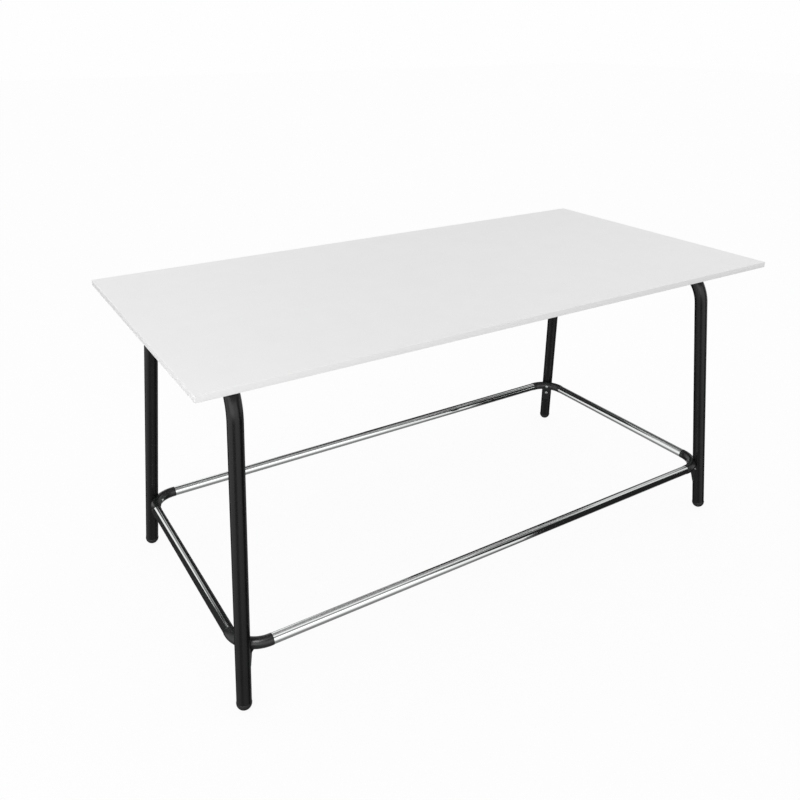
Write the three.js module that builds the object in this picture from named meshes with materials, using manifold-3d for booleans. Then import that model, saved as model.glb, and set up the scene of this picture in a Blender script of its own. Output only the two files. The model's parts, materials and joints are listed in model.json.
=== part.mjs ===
// Standing meeting table: a white laminated top on two bent tube frames,
// with a chrome foot rail carried by moulded corner connectors on the four legs.
// Millimetres, +Z up, +X along the table, +Y to the back, origin on the floor under the middle of the top.

import * as THREE from 'three';
import { mergeVertices } from 'three/addons/utils/BufferGeometryUtils.js';
import Module from 'manifold-3d';

// Top
const tableHeight = 1050;
const topLength = 2100;
const topWidth = 1050;
const topThickness = 19;
const laminateThickness = 0.8;
const edgeBandThickness = 2;
const edgeBandRadius = 1.2;

// Leg frames
const tubeDiameter = 45;
const tubeWall = 2;
const bendRadius = 135;
const legSplay = THREE.MathUtils.degToRad(5.75);
const footInset = 25;

// Mounting plates on the crossbars
const plateLength = 120;
const plateWidth = 40;
const plateThickness = 4;
const plateSpread = 400;
const plateScrewSpacing = 92;

// Stiffening channels under the top
const channelWidth = 40;
const channelDepth = 20;
const channelWall = 2;
const channelBend = 4;
const channelSpread = 240;
const channelEndGap = 60;
const channelScrewInset = 60;
const channelScrewCount = 4;

// Screws into the top
const topScrewDiameter = 5;
const topScrewLength = 16;
const topScrewHeadDiameter = 11;
const topScrewHeadHeight = 3;

// Foot rail
const railDiameter = 34;
const railWall = 1.5;
const railHeight = 202;
const railOffset = 6.5;

// Corner connectors
const elbowDiameter = 36;
const elbowRadius = 90;
const elbowCollar = 6;
const spigotLength = 38;
const spigotChamfer = 3;
const lugDrop = 80;
const lugRootWidth = 36;
const lugTipWidth = 30;
const lugRootThickness = 13;
const lugTipThickness = 1.5;
const lugRounding = 6;
const lugTipRadius = 11;
const lugFillet = 12;
const lugFilletSweep = THREE.MathUtils.degToRad(55);

// Connector screws
const screwDiameter = 6;
const screwHeadDiameter = 13;
const screwHeadHeight = 4;
const screwHeadProud = 1.5;
const screwSpacing = 44;
const screwGrip = 6;

// Foot plugs
const footRimProud = 0.9;
const footCollar = 3;
const footFlatDiameter = 14;
const footStubLength = 26;
const footStubWall = 3;
const footRibHeight = 0.6;
const footRibCount = 2;

// Clearances
const seatGap = 0.3;
const slideFit = 0.45;
const holeClearance = 0.4;

// Facets
const tubeSegments = 10;
const bendSteps = 5;
const elbowSegments = 8;
const elbowSteps = 7;
const spigotSides = 10;
const lugSteps = 3;
const screwSides = 8;
const smallScrewSides = 6;
const domeSteps = 4;
const weldTolerance = 1e-4;

// Places that follow from the sizes above
const tubeRadius = tubeDiameter / 2;
const tubeBore = tubeRadius - tubeWall;
const legFloorX = topLength / 2 - footInset - tubeRadius;
const legFloorY = topWidth / 2 - footInset - tubeRadius;
const topUnderside = tableHeight - topThickness;
const plateUnderside = topUnderside - plateThickness;
const crossbarHeight = plateUnderside - seatGap - tubeRadius;
const splaySlope = Math.tan(legSplay);
const crossbarX = legFloorX - splaySlope * crossbarHeight;
const railX = legFloorX - splaySlope * railHeight + railOffset;
const railY = legFloorY - splaySlope * railHeight + railOffset;
const elbowReach = elbowRadius + elbowCollar;
const footRadius = tubeRadius + footRimProud;
const footCentre = Math.sqrt(footRadius ** 2 - (footFlatDiameter / 2) ** 2);

// The legs lean the same way along and across the table, so each leg leans in its corner's diagonal plane.
const diagonalSlope = Math.SQRT2 * splaySlope;
const diagonalLean = Math.atan(diagonalSlope);

const whiteLaminate = { color: 0xeceded, roughness: 0.45, metalness: 0 };
const whiteEdging = { color: 0xe4e5e5, roughness: 0.5, metalness: 0 };
const chipboard = { color: 0xc2a67c, roughness: 0.9, metalness: 0 };
const blackPowderCoat = { color: 0x202021, roughness: 0.5, metalness: 0 };
const blackPlastic = { color: 0x1b1b1c, roughness: 0.45, metalness: 0 };
const chromedSteel = { color: 0xd9dcdf, roughness: 0.08, metalness: 1 };
const zincPlatedSteel = { color: 0xb4b7ba, roughness: 0.35, metalness: 1 };

const wasm = await Module();
wasm.setup();

// A closed geometry as a solid that can be joined and cut
function solidOf(geometry) {
  const bare = geometry.clone();
  bare.deleteAttribute('normal');
  bare.deleteAttribute('uv');
  const merged = mergeVertices(bare, weldTolerance);
  const corners = merged.index.array;
  const triangles = [];
  for (let i = 0; i < corners.length; i += 3) {
    const [a, b, c] = corners.slice(i, i + 3);
    if (a !== b && b !== c && c !== a) triangles.push(a, b, c);
  }
  return new wasm.Manifold(new wasm.Mesh({
    numProp: 3,
    vertProperties: new Float32Array(merged.attributes.position.array),
    triVerts: new Uint32Array(triangles),
  }));
}

function geometryOf(solid) {
  const mesh = solid.getMesh();
  const geometry = new THREE.BufferGeometry();
  geometry.setAttribute('position', new THREE.BufferAttribute(mesh.vertProperties, 3));
  geometry.setIndex(new THREE.BufferAttribute(mesh.triVerts, 1));
  return geometry;
}

function cutBy(geometry, cutters) {
  let solid = solidOf(geometry);
  for (const cutter of cutters) solid = solid.subtract(solidOf(cutter));
  return geometryOf(solid);
}

function piece(name, geometry, finish) {
  const mesh = new THREE.Mesh(geometry, new THREE.MeshStandardMaterial(finish));
  mesh.name = name;
  return mesh;
}

// A route of straight runs and bends that has a ring of points only at its stations
class Route extends THREE.Curve {
  constructor(stations) {
    super();
    this.stations = stations;
  }

  station(t) {
    return this.stations[Math.round(t * (this.stations.length - 1))];
  }

  getUtoTmapping(u) {
    return u;
  }

  getPoint(t, target = new THREE.Vector3()) {
    return target.copy(this.station(t).point);
  }

  getTangent(t, target = new THREE.Vector3()) {
    return target.copy(this.station(t).tangent);
  }
}

function sweep(section, stations, curveSegments) {
  return new THREE.ExtrudeGeometry(section, {
    steps: stations.length - 1,
    extrudePath: new Route(stations),
    curveSegments,
  });
}

function disc(radius) {
  const shape = new THREE.Shape();
  shape.absarc(0, 0, radius, 0, 2 * Math.PI);
  return shape;
}

function ring(outerRadius, innerRadius) {
  const shape = disc(outerRadius);
  shape.holes.push(disc(innerRadius));
  return shape;
}

// A turned piece about +Z from a profile of [radius, height] points that runs from bottom to top
function turned(profile, sides) {
  const points = profile.map(([radius, height]) => new THREE.Vector2(radius, height));
  return new THREE.LatheGeometry(points, sides).rotateX(Math.PI / 2);
}

function rod(radius, bottom, top, sides) {
  return turned([[0, bottom], [radius, bottom], [radius, top], [0, top]], sides);
}

function box(length, width, height) {
  return new THREE.BoxGeometry(length, width, height);
}

// Top: core, two laminates and four edge bands

const coreLength = topLength - 2 * edgeBandThickness;
const coreWidth = topWidth - 2 * edgeBandThickness;
const coreThickness = topThickness - 2 * laminateThickness;

const crossbarSides = [-1, 1];
const plateCentres = [];
for (const sideX of crossbarSides) {
  for (const sideY of [-1, 1]) plateCentres.push([sideX * crossbarX, sideY * plateSpread / 2]);
}

const channelLength = 2 * (crossbarX - tubeRadius - channelEndGap);
const channelScrewStep = (channelLength - 2 * channelScrewInset) / (channelScrewCount - 1);

// Each screw into the top: its place, and the face that its head bears on
const topScrews = [];
for (const [x, y] of plateCentres) {
  for (const side of [-1, 1]) {
    topScrews.push({ x: x + side * plateScrewSpacing / 2, y, seat: plateUnderside });
  }
}
for (const sideY of [-1, 1]) {
  for (let i = 0; i < channelScrewCount; i++) {
    const x = channelScrewInset - channelLength / 2 + i * channelScrewStep;
    topScrews.push({ x, y: sideY * channelSpread / 2, seat: topUnderside - channelWall });
  }
}

function topScrewHole({ x, y, seat }) {
  const radius = topScrewDiameter / 2 + holeClearance;
  const top = seat + topScrewLength + holeClearance;
  return rod(radius, seat - holeClearance, top, smallScrewSides).translate(x, y, 0);
}

function tableTop() {
  const group = new THREE.Group();
  const holes = topScrews.map(topScrewHole);
  const core = box(coreLength, coreWidth, coreThickness);
  core.translate(0, 0, tableHeight - topThickness / 2);
  group.add(piece('top_core_board', cutBy(core, holes), chipboard));

  const laminate = box(coreLength, coreWidth, laminateThickness);
  const upper = laminate.clone().translate(0, 0, tableHeight - laminateThickness / 2);
  group.add(piece('top_laminate', upper, whiteLaminate));
  const lower = laminate.clone().translate(0, 0, topUnderside + laminateThickness / 2);
  group.add(piece('top_backing_laminate', cutBy(lower, holes), whiteLaminate));

  // The bands on the short edges go on first, and the long ones cover their ends.
  const bands = [
    ['edge_band_front', topLength, topWidth, -Math.PI / 2],
    ['edge_band_back', topLength, topWidth, Math.PI / 2],
    ['edge_band_left', coreWidth, topLength, Math.PI],
    ['edge_band_right', coreWidth, topLength, 0],
  ];
  for (const [name, length, span, turn] of bands) {
    const band = piece(name, edgeBand(length), whiteEdging);
    band.position.set(Math.cos(turn) * span / 2, Math.sin(turn) * span / 2, tableHeight);
    band.rotation.z = turn;
    group.add(band);
  }
  return group;
}

// A band that faces +X, with its outer arrises rounded, its outer face at x = 0 and its top at z = 0
function edgeBand(length) {
  const shape = new THREE.Shape();
  shape.moveTo(-edgeBandThickness, -topThickness);
  shape.lineTo(-edgeBandRadius, -topThickness);
  shape.absarc(-edgeBandRadius, edgeBandRadius - topThickness, edgeBandRadius, -Math.PI / 2, 0);
  shape.absarc(-edgeBandRadius, -edgeBandRadius, edgeBandRadius, 0, Math.PI / 2);
  shape.lineTo(-edgeBandThickness, 0);
  shape.closePath();
  const band = new THREE.ExtrudeGeometry(shape, { depth: length, bevelEnabled: false, curveSegments: 2 });
  return band.translate(0, 0, -length / 2).rotateX(Math.PI / 2);
}

// A pan head screw that points up, its head's bearing face at z = 0
function panScrew(diameter, length, headDiameter, headHeight, sides) {
  const point = diameter / 3;
  return turned([
    [0, -headHeight],
    [headDiameter / 3, -headHeight],
    [headDiameter / 2, -headHeight / 3],
    [headDiameter / 2, 0],
    [diameter / 2, 0],
    [diameter / 2, length - point],
    [0, length],
  ], sides);
}

function topFasteners() {
  const group = new THREE.Group();
  topScrews.forEach(({ x, y, seat }, index) => {
    const shape = panScrew(
      topScrewDiameter, topScrewLength, topScrewHeadDiameter, topScrewHeadHeight, smallScrewSides);
    const screw = piece(`top_screw_${index + 1}`, shape, zincPlatedSteel);
    screw.position.set(x, y, seat);
    group.add(screw);
  });
  return group;
}

// Mounting plates: flat bars with round ends, welded across the crown of each crossbar

function mountingPlates() {
  const group = new THREE.Group();
  const endRadius = plateWidth / 2;
  const endCentre = plateLength / 2 - endRadius;
  plateCentres.forEach(([x, y]) => {
    const shape = new THREE.Shape();
    shape.absarc(endCentre, 0, endRadius, -Math.PI / 2, Math.PI / 2);
    shape.absarc(-endCentre, 0, endRadius, Math.PI / 2, 1.5 * Math.PI);
    for (const side of [-1, 1]) {
      const hole = new THREE.Path();
      hole.absarc(side * plateScrewSpacing / 2, 0, topScrewDiameter / 2 + holeClearance, 0, 2 * Math.PI);
      shape.holes.push(hole);
    }
    const bar = new THREE.ExtrudeGeometry(
      shape, { depth: plateThickness, bevelEnabled: false, curveSegments: 4 });
    const name = `mounting_plate_${x < 0 ? 'left' : 'right'}_${y < 0 ? 'front' : 'back'}`;
    const plate = piece(name, bar, blackPowderCoat);
    plate.position.set(x, y, plateUnderside);
    group.add(plate);
  });
  return group;
}

// Stiffening channels: folded sheet, web up against the top, flanges down

function channelProfile() {
  const half = channelWidth / 2;
  const inner = half - channelWall;
  const innerBend = channelBend - channelWall;
  const shape = new THREE.Shape();
  shape.moveTo(-half, -channelDepth);
  shape.lineTo(-inner, -channelDepth);
  shape.absarc(innerBend - inner, -channelBend, innerBend, Math.PI, Math.PI / 2, true);
  shape.absarc(inner - innerBend, -channelBend, innerBend, Math.PI / 2, 0, true);
  shape.lineTo(inner, -channelDepth);
  shape.lineTo(half, -channelDepth);
  shape.absarc(half - channelBend, -channelBend, channelBend, 0, Math.PI / 2);
  shape.absarc(channelBend - half, -channelBend, channelBend, Math.PI / 2, Math.PI);
  shape.closePath();
  return shape;
}

function stiffeningChannels() {
  const group = new THREE.Group();
  for (const [name, sideY] of [['stiffener_front', -1], ['stiffener_back', 1]]) {
    const folded = new THREE.ExtrudeGeometry(
      channelProfile(), { depth: channelLength, bevelEnabled: false, curveSegments: 3 });
    folded.translate(0, 0, -channelLength / 2).rotateX(Math.PI / 2).rotateZ(Math.PI / 2);
    folded.translate(0, sideY * channelSpread / 2, topUnderside);
    const holes = topScrews.filter(({ y }) => y === sideY * channelSpread / 2).map(topScrewHole);
    group.add(piece(name, cutBy(folded, holes), blackPowderCoat));
  }
  return group;
}

// Corners: each stands where a leg meets the floor and is turned so that its +X points to the middle

const corners = [
  { name: 'front_left', sideX: -1, sideY: -1 },
  { name: 'front_right', sideX: 1, sideY: -1 },
  { name: 'back_left', sideX: -1, sideY: 1 },
  { name: 'back_right', sideX: 1, sideY: 1 },
];

function cornerFrame({ sideX, sideY }) {
  const group = new THREE.Group();
  group.position.set(sideX * legFloorX, sideY * legFloorY, 0);
  group.rotation.z = Math.atan2(-sideY, -sideX);
  group.updateMatrix();
  return group;
}

// Turns a geometry made upright about the leg's axis to the lean of the leg at the given height
function onLeg(geometry, height) {
  return geometry.rotateY(diagonalLean).translate(diagonalSlope * height, 0, height);
}

// The middle of the elbow, seen square to the leg: how far out from the leg's axis, and how far up along it
const elbowSetback = (Math.SQRT2 - 1) * elbowRadius - Math.SQRT2 * railOffset;
const elbowOut = elbowSetback * Math.cos(diagonalLean);
const elbowRise = elbowSetback * Math.sin(diagonalLean);

// The upper screw comes out at half the height of the elbow's inner face, the lower one through the lug.
const elbowFace = elbowSetback + elbowDiameter / 2;
const upperScrewRise = elbowFace * Math.sin(diagonalLean);
const lowerScrewDrop = screwSpacing - upperScrewRise;
const lugSlope = (lugRootThickness - lugTipThickness) / lugDrop;
const upperScrewFace = elbowOut + Math.sqrt((elbowDiameter / 2) ** 2 - (upperScrewRise - elbowRise) ** 2);
const lowerScrewFace = tubeRadius + lugRootThickness - lugSlope * lowerScrewDrop;
const headSink = screwHeadHeight - screwHeadProud;
const connectorScrews = [
  { name: 'upper', drop: -upperScrewRise, seat: upperScrewFace - headSink },
  { name: 'lower', drop: lowerScrewDrop, seat: lowerScrewFace - headSink },
];

// A hole square to the leg from the given distance out to another
function crossHole(radius, from, to, drop, sides) {
  const hole = rod(radius, from, to, sides).rotateY(Math.PI / 2).translate(0, 0, -drop);
  return onLeg(hole, railHeight);
}

function screwHole(drop, from, to) {
  return crossHole(screwDiameter / 2 + holeClearance, from, to, drop, screwSides);
}

// Leg frames: one tube bent twice, drilled for the connector screws

function legRoute() {
  const lean = legSplay;
  const splay = Math.atan(splaySlope * Math.cos(lean));
  const crossbar = crossbarHeight / Math.cos(lean);
  const bendHeight = crossbar - bendRadius;
  const legAt = (height) => legFloorY - Math.tan(splay) * height;
  const bendY = legAt(bendHeight) - bendRadius / Math.cos(splay);
  const footHeight = footCentre / Math.cos(lean);
  const tubeEnd = footCollar + seatGap;
  const half = [{
    point: new THREE.Vector3(
      0, legAt(footHeight) - tubeEnd * Math.sin(splay), footHeight + tubeEnd * Math.cos(splay)),
    tangent: new THREE.Vector3(0, -Math.sin(splay), Math.cos(splay)),
  }];
  for (let i = 0; i <= bendSteps; i++) {
    const angle = splay + (Math.PI / 2 - splay) * i / bendSteps;
    half.push({
      point: new THREE.Vector3(
        0, bendY + bendRadius * Math.cos(angle), bendHeight + bendRadius * Math.sin(angle)),
      tangent: new THREE.Vector3(0, -Math.sin(angle), Math.cos(angle)),
    });
  }
  const mirrored = half.toReversed().map(({ point, tangent }) => ({
    point: new THREE.Vector3(0, -point.y, point.z),
    tangent: new THREE.Vector3(0, tangent.y, -tangent.z),
  }));
  return [...half, ...mirrored];
}

function legFrames() {
  const group = new THREE.Group();
  for (const [name, sideX] of [['left_leg_frame', -1], ['right_leg_frame', 1]]) {
    const tube = sweep(ring(tubeRadius, tubeBore), legRoute(), tubeSegments);
    const frame = new THREE.Group();
    frame.position.x = sideX * legFloorX;
    frame.rotation.y = -sideX * legSplay;
    frame.updateMatrix();
    const toFrame = frame.matrix.clone().invert();
    const holes = [];
    for (const corner of corners.filter((one) => one.sideX === sideX)) {
      const matrix = toFrame.clone().multiply(cornerFrame(corner).matrix);
      for (const { drop } of connectorScrews) {
        holes.push(screwHole(drop, tubeBore - tubeWall, tubeRadius + tubeWall).applyMatrix4(matrix));
      }
    }
    frame.add(piece(name, cutBy(tube, holes), blackPowderCoat));
    group.add(frame);
  }
  return group;
}

// Corner connector: an elbow that ends in spigots for the rails, hollowed to a saddle where the leg
// passes behind it, with a lug that tapers down the inner side of the leg

function elbowStations() {
  const centre = Math.SQRT2 * (elbowRadius - railOffset);
  const stations = [];
  for (let i = 0; i <= elbowSteps; i++) {
    const angle = Math.PI / 2 * (i / elbowSteps - 0.5);
    stations.push({
      point: new THREE.Vector3(
        centre - elbowRadius * Math.cos(angle), elbowRadius * Math.sin(angle), 0),
      tangent: new THREE.Vector3(Math.sin(angle), Math.cos(angle), 0),
    });
  }
  const first = stations[0];
  const last = stations[elbowSteps];
  stations.unshift({
    point: first.point.clone().addScaledVector(first.tangent, -elbowCollar),
    tangent: first.tangent,
  });
  stations.push({
    point: last.point.clone().addScaledVector(last.tangent, elbowCollar),
    tangent: last.tangent,
  });
  return stations;
}

// A spigot along +Z that starts a little inside the elbow's end face and ends in a lead-in
function spigot() {
  const radius = railDiameter / 2 - railWall - slideFit;
  return turned([
    [0, -elbowCollar / 2],
    [radius, -elbowCollar / 2],
    [radius, spigotLength - spigotChamfer],
    [radius - spigotChamfer / 2, spigotLength],
    [0, spigotLength],
  ], spigotSides);
}

// The fillet between the elbow's underside and the face of the lug, as an arc seen from the side
const filletReach = elbowDiameter / 2 + lugFillet;
const filletOut = tubeRadius + lugRootThickness - lugSlope * elbowDiameter / 2 + lugFillet;
const filletBelowElbow = Math.sqrt(filletReach ** 2 - (filletOut - elbowOut) ** 2);
const faceFilletBottom = filletBelowElbow - elbowRise;
const faceFilletTop = filletBelowElbow * elbowDiameter / 2 / filletReach - elbowRise;

// The same fillet along the lug's sides, up to where it runs into the elbow
const sideFilletBottom = elbowDiameter / 2 - elbowRise + lugFillet;
const sideFilletTop = sideFilletBottom - lugFillet * Math.sin(lugFilletSweep);

// How far the fillet stands out at a rise above its lower end
function filletFlare(rise) {
  return lugFillet - Math.sqrt(lugFillet ** 2 - Math.max(0, rise) ** 2);
}

// Distance from the leg's axis to the lug's face at a drop below the rail's height
function lugFace(drop) {
  const low = Math.max(drop, faceFilletTop);
  return tubeRadius + lugRootThickness - lugSlope * low + filletFlare(faceFilletBottom - low);
}

// Half the width of the lug, which narrows to its tip, ends in two round corners and dies into the elbow
function lugHalfWidth(drop) {
  const width = THREE.MathUtils.lerp(lugRootWidth, lugTipWidth, drop / lugDrop);
  const past = Math.max(0, drop - lugDrop + lugTipRadius);
  const tipInset = lugTipRadius - Math.sqrt(lugTipRadius ** 2 - past ** 2);
  const flare = drop < sideFilletTop ? 0 : filletFlare(sideFilletBottom - drop);
  return width / 2 - tipInset + flare;
}

// The lug's section with round front corners, drawn down the leg and fitted to its face and width
function lug() {
  const half = lugRootWidth / 2;
  const back = tubeBore / 2;
  const root = tubeRadius + lugRootThickness;
  const section = new THREE.Shape();
  section.moveTo(back, half);
  section.lineTo(back, -half);
  section.absarc(root - lugRounding, lugRounding - half, lugRounding, -Math.PI / 2, 0);
  section.absarc(root - lugRounding, half - lugRounding, lugRounding, 0, Math.PI / 2);
  section.closePath();

  const drops = [lugDrop, faceFilletTop, 0];
  for (let i = 1; i <= lugSteps; i++) {
    drops.push(lugDrop - lugTipRadius * (1 - Math.cos(Math.PI / 2 * i / lugSteps)));
  }
  for (let i = 0; i <= lugSteps; i++) {
    drops.push(sideFilletBottom - lugFillet * Math.sin(lugFilletSweep * i / lugSteps));
  }
  drops.sort((a, b) => b - a);

  const steps = drops.length - 1;
  const shape = new THREE.ExtrudeGeometry(
    section, { depth: steps, steps, bevelEnabled: false, curveSegments: 3 });
  const vertices = shape.attributes.position;
  for (let i = 0; i < vertices.count; i++) {
    const drop = drops[Math.round(vertices.getZ(i))];
    const out = (vertices.getX(i) - back) * (lugFace(drop) - back) / (root - back);
    vertices.setXYZ(i, back + out, vertices.getY(i) * lugHalfWidth(drop) / half, -drop);
  }
  return onLeg(shape, railHeight);
}

function cornerConnector() {
  const legX = diagonalSlope * railHeight;
  const stations = elbowStations();
  const elbow = sweep(disc(elbowDiameter / 2), stations, elbowSegments);
  let solid = solidOf(elbow.translate(legX, 0, railHeight));
  for (const [end, side] of [[stations[0], -1], [stations.at(-1), 1]]) {
    const stub = spigot().rotateY(Math.PI / 2).rotateZ(side * Math.PI / 4);
    solid = solid.add(solidOf(stub.translate(legX + end.point.x, end.point.y, railHeight)));
  }
  solid = solid.add(solidOf(lug()));
  const legRoom = rod(tubeRadius + seatGap, -2 * lugDrop, 2 * lugDrop, 2 * tubeSegments);
  solid = solid.subtract(solidOf(onLeg(legRoom, railHeight)));
  for (const { drop, seat } of connectorScrews) {
    solid = solid.subtract(solidOf(screwHole(drop, tubeBore, elbowFace)));
    const headRoom = screwHeadDiameter / 2 + holeClearance;
    const bore = crossHole(headRoom, seat - seatGap, elbowFace + elbowDiameter, drop, screwSides);
    solid = solid.subtract(solidOf(bore));
  }
  return geometryOf(solid);
}

function footPlug() {
  const bore = tubeBore - slideFit;
  const stub = bore - footRibHeight;
  const profile = [];
  for (let i = 0; i <= domeSteps; i++) {
    const angle = Math.PI / 2 * (i / domeSteps - 1);
    profile.push([footRadius * Math.cos(angle), footRadius * Math.sin(angle)]);
  }
  profile.push([footRadius, footCollar - footRimProud]);
  profile.push([tubeRadius, footCollar]);
  profile.push([stub, footCollar]);
  const ribStep = footStubLength / (footRibCount + 1);
  for (let i = 1; i <= footRibCount; i++) {
    const middle = footCollar + i * ribStep;
    profile.push([stub, middle]);
    profile.push([bore, middle]);
    profile.push([stub, middle + ribStep / 2]);
  }
  profile.push([stub, footCollar + footStubLength]);
  profile.push([stub - footStubWall, footCollar + footStubLength]);
  profile.push([stub - footStubWall, footCollar]);
  profile.push([0, footCollar]);
  const plug = onLeg(turned(profile, 2 * tubeSegments), footCentre);
  const floorCut = box(4 * footRadius, 4 * footRadius, footRadius).translate(0, 0, -footRadius / 2);
  return cutBy(plug, [floorCut]);
}

function cornerPieces() {
  const group = new THREE.Group();
  for (const corner of corners) {
    const frame = cornerFrame(corner);
    frame.add(piece(`${corner.name}_connector`, cornerConnector(), blackPlastic));
    frame.add(piece(`${corner.name}_foot`, footPlug(), blackPlastic));
    for (const { name, drop, seat } of connectorScrews) {
      const length = seat - tubeBore + screwGrip;
      const shape = panScrew(screwDiameter, length, screwHeadDiameter, screwHeadHeight, screwSides);
      shape.rotateY(-Math.PI / 2).translate(seat, 0, -drop);
      frame.add(piece(`${corner.name}_${name}_screw`, onLeg(shape, railHeight), zincPlatedSteel));
    }
    group.add(frame);
  }
  return group;
}

// Foot rails: straight tubes that slide over the spigots up to the elbows

function footRails() {
  const group = new THREE.Group();
  const longRail = 2 * (railX - elbowReach - seatGap);
  const shortRail = 2 * (railY - elbowReach - seatGap);
  const rails = [
    ['front_foot_rail', longRail, 0, -railY, Math.PI / 2],
    ['back_foot_rail', longRail, 0, railY, Math.PI / 2],
    ['left_foot_rail', shortRail, -railX, 0, 0],
    ['right_foot_rail', shortRail, railX, 0, 0],
  ];
  for (const [name, length, x, y, turn] of rails) {
    const section = ring(railDiameter / 2, railDiameter / 2 - railWall);
    const tube = new THREE.ExtrudeGeometry(
      section, { depth: length, bevelEnabled: false, curveSegments: tubeSegments });
    const rail = piece(name, tube.translate(0, 0, -length / 2).rotateX(Math.PI / 2), chromedSteel);
    rail.position.set(x, y, railHeight);
    rail.rotation.z = turn;
    group.add(rail);
  }
  return group;
}

const table = new THREE.Group();
table.add(tableTop());
table.add(topFasteners());
table.add(mountingPlates());
table.add(stiffeningChannels());
table.add(legFrames());
table.add(cornerPieces());
table.add(footRails());

export default table;
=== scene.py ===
import json
import math
import bmesh
import bpy
from mathutils import Matrix, Vector


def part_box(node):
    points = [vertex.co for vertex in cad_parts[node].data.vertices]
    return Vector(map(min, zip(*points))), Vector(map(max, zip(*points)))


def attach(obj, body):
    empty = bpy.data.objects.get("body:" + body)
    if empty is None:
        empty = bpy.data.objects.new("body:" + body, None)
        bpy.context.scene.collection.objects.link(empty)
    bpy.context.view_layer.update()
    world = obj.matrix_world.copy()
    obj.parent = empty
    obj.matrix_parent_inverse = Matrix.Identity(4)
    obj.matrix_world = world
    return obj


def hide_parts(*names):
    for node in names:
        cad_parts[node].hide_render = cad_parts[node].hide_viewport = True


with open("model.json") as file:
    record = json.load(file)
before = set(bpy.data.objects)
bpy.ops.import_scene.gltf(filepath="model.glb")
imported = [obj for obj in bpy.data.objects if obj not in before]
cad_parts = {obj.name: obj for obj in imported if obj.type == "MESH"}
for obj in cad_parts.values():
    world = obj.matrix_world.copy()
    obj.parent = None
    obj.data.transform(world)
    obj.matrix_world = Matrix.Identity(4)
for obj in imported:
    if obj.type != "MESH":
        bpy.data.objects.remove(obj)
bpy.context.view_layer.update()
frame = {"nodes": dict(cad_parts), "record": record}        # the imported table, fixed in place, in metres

mm = 0.001
touching = 0.001 * mm      # points this close are one point
onFace = 0.01 * mm         # this close to a face or a rim is on it
nearby = 1 * mm            # this close to an end belongs to it
mostly = 0.9               # a direction with this share along an axis counts as running along it
scene = bpy.context.scene
scene.view_settings.view_transform = "Standard"
print("frame loaded with", len(frame["nodes"]), "nodes")


# ways of working that every piece shares

def clearSelection():      # the loaded nodes start selected, and an operator acts on all that is selected
    if bpy.context.mode != "OBJECT":
        bpy.ops.object.mode_set(mode="OBJECT")
    bpy.ops.object.select_all(action="DESELECT")


def workOn(piece):
    clearSelection()
    piece.select_set(True)
    bpy.context.view_layer.objects.active = piece


def keepPlace():      # moves the place, turn and scale of the selected piece into its mesh
    bpy.ops.object.transform_apply(location=True, rotation=True, scale=True)


def startEditing():      # edit mode with everything selected
    bpy.ops.object.mode_set(mode="EDIT")
    bpy.ops.mesh.select_mode(type="EDGE")
    bpy.ops.mesh.select_all(action="SELECT")


def startShape():      # takes the primitive that was just added and opens it for editing
    piece = bpy.context.object
    keepPlace()
    startEditing()
    return piece


def pick(kind, test):      # in edit mode, selects the vertices, edges or faces that pass a test
    bpy.ops.mesh.select_mode(type=kind)
    bpy.ops.mesh.select_all(action="DESELECT")
    mesh = bmesh.from_edit_mesh(bpy.context.object.data)
    for item in {"VERT": mesh.verts, "EDGE": mesh.edges, "FACE": mesh.faces}[kind]:
        if test(item):
            item.select_set(True)
    mesh.select_flush_mode()
    bmesh.update_edit_mesh(bpy.context.object.data)


def edgeRun(edge):      # the direction an edge runs in
    return (edge.verts[1].co - edge.verts[0].co).normalized()


def pullOut(move):      # extrudes what is selected
    bpy.ops.mesh.extrude_region_move(TRANSFORM_OT_translate={"value": tuple(move)})


def joinSeams():      # merges the seams of a spun or extruded shape and turns its faces outwards
    bpy.ops.mesh.select_all(action="SELECT")
    bpy.ops.mesh.remove_doubles(threshold=touching)
    bpy.ops.mesh.normals_make_consistent(inside=False)


def closeUp():
    joinSeams()
    bpy.ops.object.mode_set(mode="OBJECT")


def useModifier(piece, kind, **settings):
    workOn(piece)
    modifier = piece.modifiers.new(kind.lower(), kind)
    for key, value in settings.items():
        setattr(modifier, key, value)
    bpy.ops.object.modifier_apply(modifier=modifier.name)


def joinOrCut(piece, tool, operation):
    useModifier(piece, "BOOLEAN", object=tool, operation=operation, solver="EXACT")
    bpy.data.objects.remove(tool, do_unlink=True)


def placeBy(piece, matrix):
    workOn(piece)
    piece.matrix_world = matrix @ piece.matrix_world
    keepPlace()


def copyTo(source, matrix):      # each copy has its own mesh
    piece = source.copy()
    piece.data = source.data.copy()
    scene.collection.objects.link(piece)
    placeBy(piece, matrix)
    return piece


def finishPiece(piece, name, node, finish, smoothDegrees=32):
    workOn(piece)
    keepPlace()
    bpy.ops.object.shade_smooth_by_angle(angle=math.radians(smoothDegrees))
    piece.name = name
    piece.data.name = name
    piece.data.materials.clear()
    piece.data.materials.append(finish)
    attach(piece, "root")
    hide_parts(node)


def drillRod(radius, start, end, sides=32):      # a round cutter between two points
    run = end - start
    clearSelection()
    bpy.ops.mesh.primitive_cylinder_add(vertices=sides, radius=radius, depth=run.length,
                                        location=(start + end) / 2,
                                        rotation=run.to_track_quat("Z", "Y").to_euler())
    keepPlace()
    return bpy.context.object


# camera, solved from the edges of the top, the legs and the feet in the photograph

view = {"place": (-1.4966, -2.1335, 1.82375), "yawDegrees": 31.978, "downDegrees": 25.078,
        "rollDegrees": 0.048, "focalPixels": 776.57, "centrePixels": (399.98, 386.39), "imagePixels": 800,
        "sensorMm": 36, "farMetres": 200}

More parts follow.
